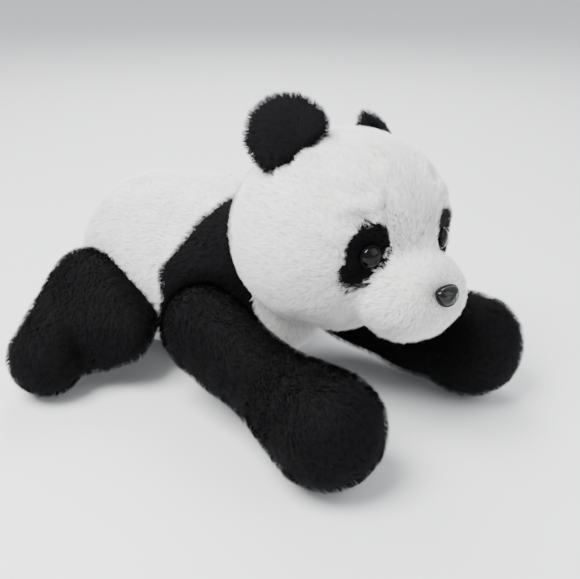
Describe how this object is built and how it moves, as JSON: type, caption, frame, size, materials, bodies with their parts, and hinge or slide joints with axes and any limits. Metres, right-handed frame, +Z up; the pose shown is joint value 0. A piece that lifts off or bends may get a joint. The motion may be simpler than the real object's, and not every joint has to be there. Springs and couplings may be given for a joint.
{
  "type": "plush panda",
  "caption": "Plush panda lying on its belly, arms stretched forward and hind legs splayed, with a turning head, folding ears and movable limbs.",
  "frame": {"origin": "middle of the flat patch of belly that the toy lies on", "axes": "+X forward towards the nose, +Y to the toy's own left, +Z up"},
  "size_m": [0.4996, 0.4484, 0.2972],
  "materials": {
    "white_plush": "short fluffy pile, soft off-white",
    "black_plush": "short fluffy pile, deep black",
    "fibre_filling": "loose polyester fibre",
    "pellet_pouch": "plain woven pouch of plastic pellets",
    "eye_plastic": "glossy moulded black",
    "nose_plastic": "glossy moulded black",
    "washer_plastic": "natural moulded",
    "nylon": "thin translucent nylon",
    "label_satin": "smooth satin ribbon, blank",
    "sewing_thread": "twisted polyester thread"
  },
  "bodies": {
    "torso": {"torso_filling": "fibre_filling", "belly_pellet_bag": "pellet_pouch", "body_side_right": "white_plush", "body_side_left": "white_plush", "belly_panel": "white_plush", "yoke_right": "black_plush", "yoke_left": "black_plush", "throat_panel": "white_plush", "closing_stitches": "sewing_thread", "care_label": "label_satin", "tag_fastener": "nylon"},
    "neck": {"neck_filling": "fibre_filling", "neck_thread": "sewing_thread"},
    "head": {"head_filling": "fibre_filling", "head_side_right": "white_plush", "head_side_left": "white_plush", "head_gusset": "white_plush", "chin_panel": "white_plush", "muzzle_cover_right": "white_plush", "muzzle_cover_left": "white_plush", "muzzle_filling": "fibre_filling", "eye_patch_right": "black_plush", "eye_patch_left": "black_plush", "eye_right": "eye_plastic", "eye_left": "eye_plastic", "eye_washers": "washer_plastic", "nose": "nose_plastic", "nose_washer": "washer_plastic"},
    "ear_right": {"ear_front_right": "black_plush", "ear_back_right": "black_plush"},
    "ear_left": {"ear_front_left": "black_plush", "ear_back_left": "black_plush"},
    "arm_right": {"arm_top_right": "black_plush", "arm_under_right": "black_plush", "arm_filling_right": "fibre_filling", "paw_pellet_bag_right": "pellet_pouch"},
    "arm_left": {"arm_top_left": "black_plush", "arm_under_left": "black_plush", "arm_filling_left": "fibre_filling", "paw_pellet_bag_left": "pellet_pouch"},
    "leg_right": {"leg_front_right": "black_plush", "leg_back_right": "black_plush", "foot_sole_right": "black_plush", "leg_filling_right": "fibre_filling", "foot_pellet_bag_right": "pellet_pouch"},
    "leg_left": {"leg_front_left": "black_plush", "leg_back_left": "black_plush", "foot_sole_left": "black_plush", "leg_filling_left": "fibre_filling", "foot_pellet_bag_left": "pellet_pouch"},
    "tail": {"tail_cover": "white_plush", "tail_filling": "fibre_filling"}
  },
  "joints": [
    {"name": "neck_turn", "type": "hinge", "parent": "torso", "child": "neck", "pos_m": [0.19099, 0.003, 0.176], "axis": [0, 0, 1], "range_deg": [-12, 12]},
    {"name": "neck_nod", "type": "hinge", "parent": "neck", "child": "head", "pos_m": [0.19099, 0.003, 0.176], "axis": [0.0696, 0.9951, -0.0698], "range_deg": [-18, 6]},
    {"name": "ear_fold_right", "type": "hinge", "parent": "head", "child": "ear_right", "pos_m": [0.1847, -0.0484, 0.25761], "axis": [0.2655, 0.8022, 0.5348], "range_deg": [-2, 25], "stiffness_Nm_per_rad": 0.25},
    {"name": "ear_fold_left", "type": "hinge", "parent": "head", "child": "ear_left", "pos_m": [0.1806, 0.0821, 0.23543], "axis": [-0.0496, 0.5897, -0.8061], "range_deg": [-2, 25], "stiffness_Nm_per_rad": 0.25},
    {"name": "shoulder_right", "type": "hinge", "parent": "torso", "child": "arm_right", "pos_m": [0.10399, -0.088, 0.082], "axis": [0, -0.4226, -0.9063], "range_deg": [0, 60]},
    {"name": "shoulder_left", "type": "hinge", "parent": "torso", "child": "arm_left", "pos_m": [0.10399, 0.088, 0.082], "axis": [0, -0.4226, 0.9063], "range_deg": [0, 60]},
    {"name": "hip_right", "type": "hinge", "parent": "torso", "child": "leg_right", "pos_m": [-0.05401, -0.1, 0.078], "axis": [0, 0, 1], "range_deg": [-40, 3]},
    {"name": "hip_left", "type": "hinge", "parent": "torso", "child": "leg_left", "pos_m": [-0.05401, 0.1, 0.078], "axis": [0, 0, -1], "range_deg": [-40, 3]},
    {"name": "tail_wag", "type": "hinge", "parent": "torso", "child": "tail", "pos_m": [-0.13411, 0, 0.08957], "axis": [0, 0, 1], "range_deg": [-20, 20], "stiffness_Nm_per_rad": 0.3}
  ]
}
